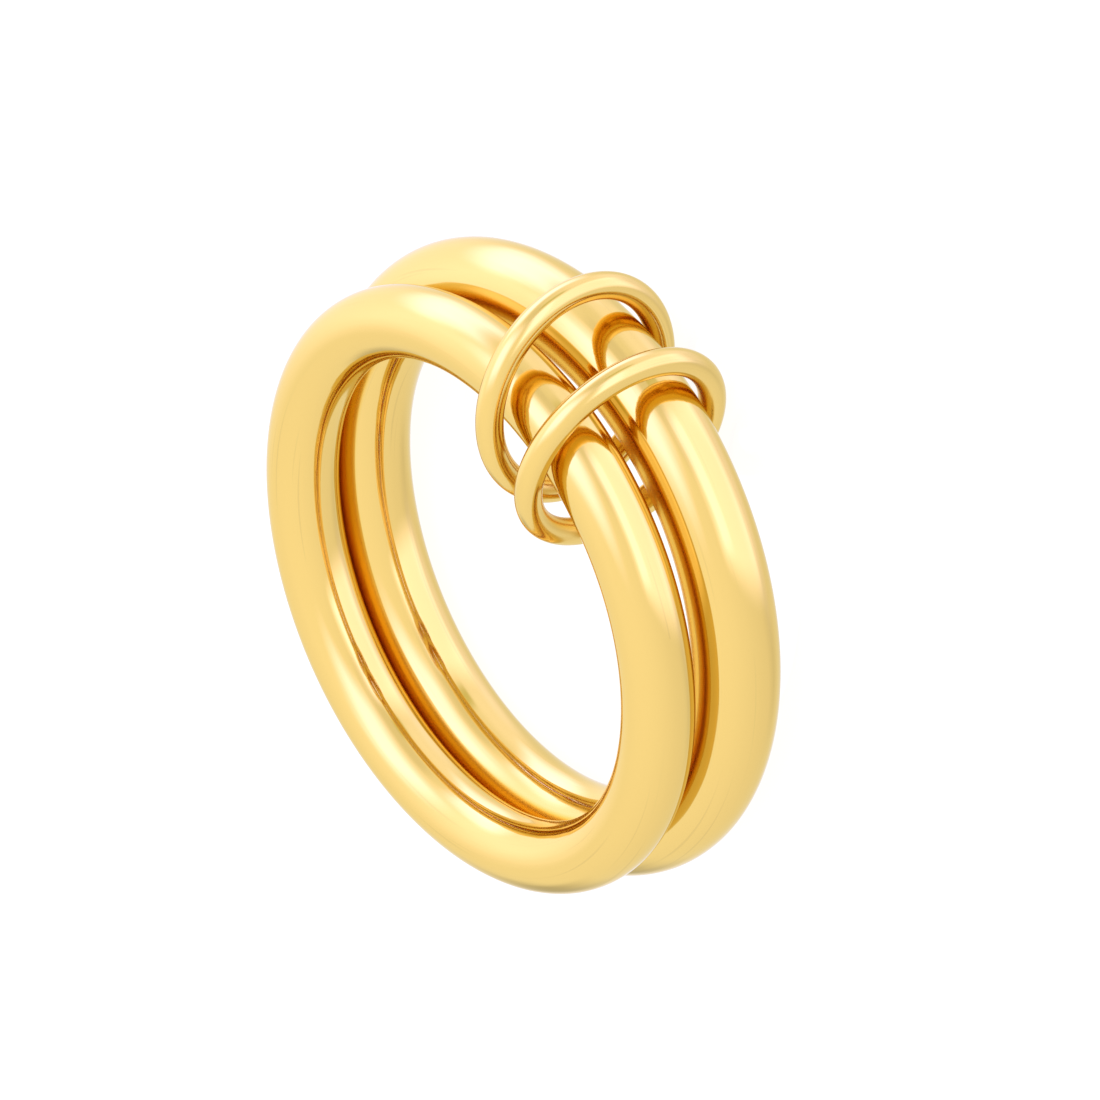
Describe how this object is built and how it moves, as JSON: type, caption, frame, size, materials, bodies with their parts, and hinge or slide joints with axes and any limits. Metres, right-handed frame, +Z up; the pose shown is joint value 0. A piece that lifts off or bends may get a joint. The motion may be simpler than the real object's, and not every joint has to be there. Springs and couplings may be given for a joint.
{
  "type": "double band ring",
  "caption": "Finger ring of plain round-wire bands side by side, held together by small wire links that run loosely round them.",
  "frame": {"origin": "on the surface that the ring lies on, under the middle of its outline", "axes": "+Z up from the surface and within 5 degrees of the ring's own axis, -Y towards the two links, +X across; the thick band is the lower one"},
  "size_m": [0.0228, 0.0246, 0.0083],
  "materials": {
    "slim_band_gold": "mirror polished yellow gold plate",
    "thick_band_gold": "mirror polished yellow gold plate",
    "link_gold": "mirror polished yellow gold plate"
  },
  "bodies": {
    "thick_band": {"thick_band": "thick_band_gold"},
    "slim_band": {"slim_band": "slim_band_gold"},
    "first_link": {"first_link": "link_gold"},
    "second_link": {"second_link": "link_gold"}
  },
  "joints": [
    {"name": "slim_band_spin", "type": "hinge", "parent": "thick_band", "child": "slim_band", "pos_m": [0, 0.00138, 0.00504], "axis": [0, 0.0778, 0.997], "continuous": true},
    {"name": "first_link_travel", "type": "hinge", "parent": "thick_band", "child": "first_link", "pos_m": [0, 0.00096, 0.00208], "axis": [0, 0.0587, 0.9983], "range_deg": [0, 150]},
    {"name": "second_link_travel", "type": "hinge", "parent": "thick_band", "child": "second_link", "pos_m": [0, 0.00096, 0.00208], "axis": [0, 0.0587, 0.9983], "range_deg": [-150, 0]}
  ]
}
